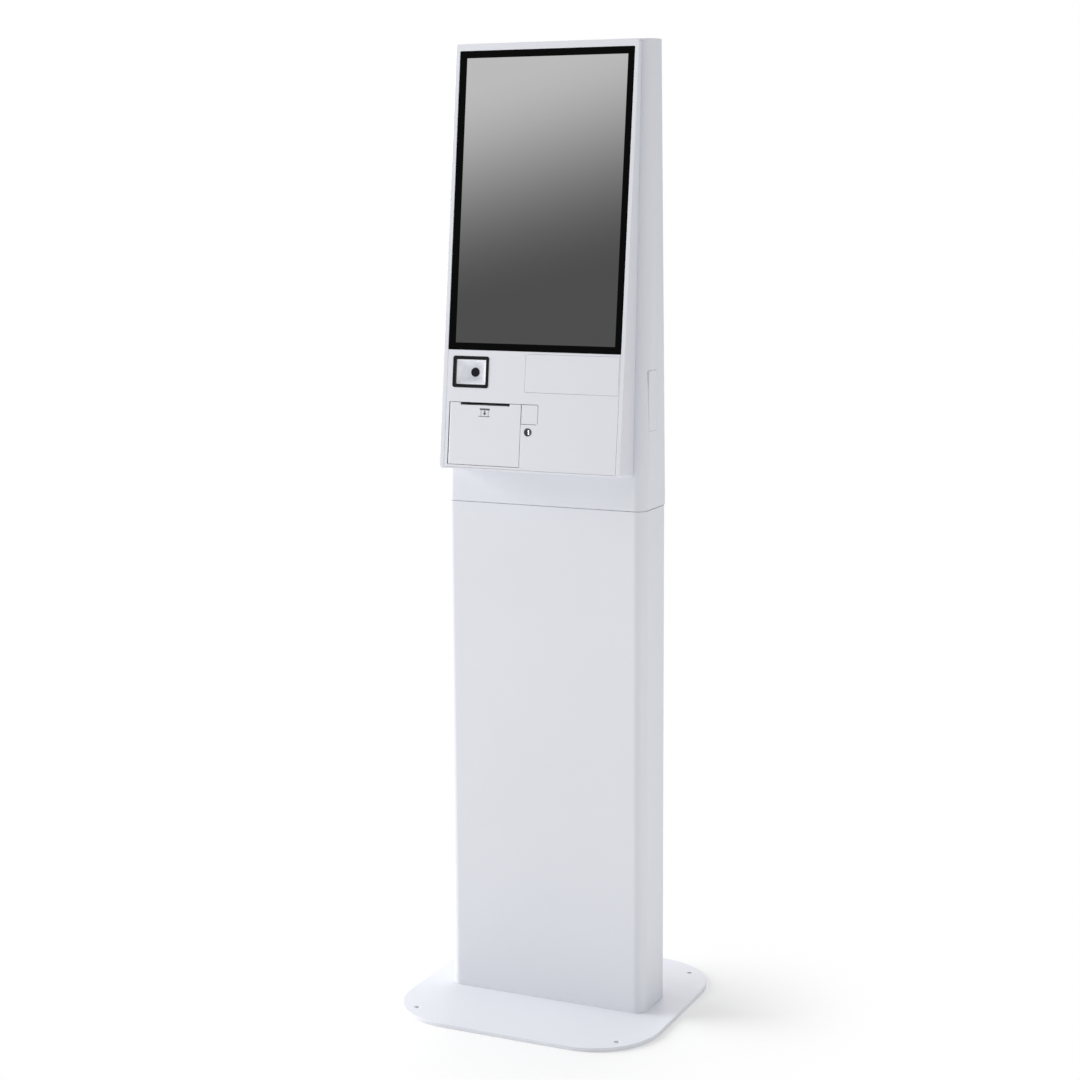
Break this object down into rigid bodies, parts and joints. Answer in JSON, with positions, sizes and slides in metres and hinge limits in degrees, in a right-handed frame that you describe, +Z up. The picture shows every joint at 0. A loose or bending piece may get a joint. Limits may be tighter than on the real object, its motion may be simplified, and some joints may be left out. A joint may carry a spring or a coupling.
{
  "type": "ticket vending machine",
  "caption": "Floor-standing self-service ticket machine: column, leaning touch display, code scanner, and ticket printer behind a hinged door.",
  "frame": {"origin": "centre of the base plate's underside, on the floor", "axes": "+Z up; the customer stands on the -Y side and faces +Y; +X is to the customer's right"},
  "size_m": [0.49, 0.454, 1.7],
  "materials": {
    "white_paint": "white powder coat with a fine satin texture",
    "zinc_steel": "zinc plated sheet",
    "bright_steel": "bright plated steel",
    "grey_steel": "plain steel sheet",
    "dark_metal": "dark anodised",
    "black_plastic": "fine matt texture",
    "gloss_black": "smooth, semi-gloss",
    "light_plastic": "smooth satin",
    "display_glass": "flat glass with a black printed border over a dimmed screen",
    "lens_glass": "dark coated glass",
    "platen_rubber": "ground rubber",
    "gear_plastic": "natural acetal",
    "brass": "turned brass",
    "paper": "thermal paper, wound",
    "printed_grey": "printed ink",
    "circuit_board": "solder mask with metal sockets"
  },
  "bodies": {
    "cabinet": {"base_plate": "white_paint", "column_shell": "white_paint", "head_shell": "white_paint", "head_rear_cover": "white_paint", "side_port_cover": "white_paint", "front_housing": "white_paint", "lower_front_panel": "white_paint", "blank_cover_plate": "white_paint", "column_foot_bracket": "zinc_steel", "column_top_plate": "zinc_steel", "column_shelf": "zinc_steel", "head_base_plate": "zinc_steel", "head_chassis": "zinc_steel", "display_bracket": "zinc_steel", "pawl_pin": "zinc_steel", "lock_body": "zinc_steel", "column_foot_bolts": "bright_steel", "rear_door_hinge_pins": "bright_steel", "head_joint_bolts": "bright_steel", "rear_cover_screws": "bright_steel", "door_hinge_pins": "bright_steel", "button_spring": "bright_steel", "paper_spindle": "bright_steel", "power_supply": "grey_steel", "printer_frame": "grey_steel", "feed_motor": "grey_steel", "power_inlet": "black_plastic", "computer_box": "dark_metal", "thermal_head": "dark_metal", "tear_bar": "dark_metal", "fan_frame": "black_plastic", "io_board": "circuit_board", "display_glass": "display_glass", "lcd_panel": "grey_steel", "scanner_bezel": "gloss_black", "scanner_funnel": "light_plastic", "scanner_lens": "lens_glass", "scanner_module": "black_plastic", "button_guide": "black_plastic"},
    "printer_door": {"receipt_door": "white_paint", "door_strikes": "bright_steel", "door_icon": "printed_grey"},
    "release_button": {"release_button": "white_paint"},
    "latch_pawl": {"latch_pawl": "bright_steel"},
    "door_lock": {"lock_barrel": "dark_metal", "lock_cam": "bright_steel"},
    "platen": {"platen_roller": "platen_rubber", "platen_gear": "gear_plastic"},
    "motor_pinion": {"motor_pinion": "brass"},
    "paper_roll": {"paper_roll": "paper"},
    "cutter": {"cutter_blade": "bright_steel"},
    "fan_rotor": {"fan_rotor": "black_plastic"},
    "power_rocker": {"power_rocker": "black_plastic"},
    "service_door": {"column_rear_door": "white_paint"},
    "service_lock": {"rear_door_lock": "bright_steel"}
  },
  "joints": [
    {"name": "printer_door_hinge", "type": "hinge", "parent": "cabinet", "child": "printer_door", "pos_m": [-0.152, -0.10004, 0.98278], "axis": [0, -0.1201, -0.9928], "range_deg": [0, 95]},
    {"name": "button_press", "type": "slide", "parent": "cabinet", "child": "release_button", "axis": [0, 0.9928, -0.1201], "range_m": [0, 0.003], "stiffness_N_per_m": 300, "springref_m": -0.003, "deforming": ["button_spring"]},
    {"name": "pawl_turn", "type": "hinge", "parent": "cabinet", "child": "latch_pawl", "pos_m": [-0.012, -0.06642, 1.06917], "axis": [0, 0.1201, 0.9928], "range_deg": [0, 10.2]},
    {"name": "door_lock_turn", "type": "hinge", "parent": "cabinet", "child": "door_lock", "pos_m": [-0.0037, -0.09571, 1.0435], "axis": [0, 0.9928, -0.1201], "range_deg": [0, 90]},
    {"name": "platen_spin", "type": "hinge", "parent": "cabinet", "child": "platen", "pos_m": [-0.09, -0.07547, 1.06926], "axis": [1, 0, 0], "continuous": true},
    {"name": "pinion_spin", "type": "hinge", "parent": "cabinet", "child": "motor_pinion", "pos_m": [-0.031, -0.07304, 1.05218], "axis": [1, 0, 0], "continuous": true},
    {"name": "paper_roll_spin", "type": "hinge", "parent": "cabinet", "child": "paper_roll", "pos_m": [-0.087, -0.04113, 1.01171], "axis": [1, 0, 0], "continuous": true},
    {"name": "cutter_slide", "type": "slide", "parent": "cabinet", "child": "cutter", "axis": [0, -0.9928, 0.1201], "range_m": [0, 0.01]},
    {"name": "fan_spin", "type": "hinge", "parent": "cabinet", "child": "fan_rotor", "pos_m": [0, 0.025, 1.56], "axis": [0, 1, 0], "continuous": true},
    {"name": "rocker_tip", "type": "hinge", "parent": "cabinet", "child": "power_rocker", "pos_m": [-0.05, 0.0595, 0.072], "axis": [-1, 0, 0], "range_deg": [0, 16]},
    {"name": "service_door_hinge", "type": "hinge", "parent": "cabinet", "child": "service_door", "pos_m": [-0.1457, 0.0585, 0.485], "axis": [0, 0, 1], "range_deg": [0, 95]},
    {"name": "service_lock_turn", "type": "hinge", "parent": "service_door", "child": "service_lock", "pos_m": [0.1332, 0.055, 0.485], "axis": [0, 1, 0], "range_deg": [0, 90]}
  ],
  "couplings": [
    {"joint": "pawl_turn", "follows": "button_press", "rad_per_m": 58.139},
    {"joint": "pinion_spin", "follows": "platen_spin", "ratio": -2.4},
    {"joint": "paper_roll_spin", "follows": "platen_spin", "ratio": -0.19697}
  ]
}
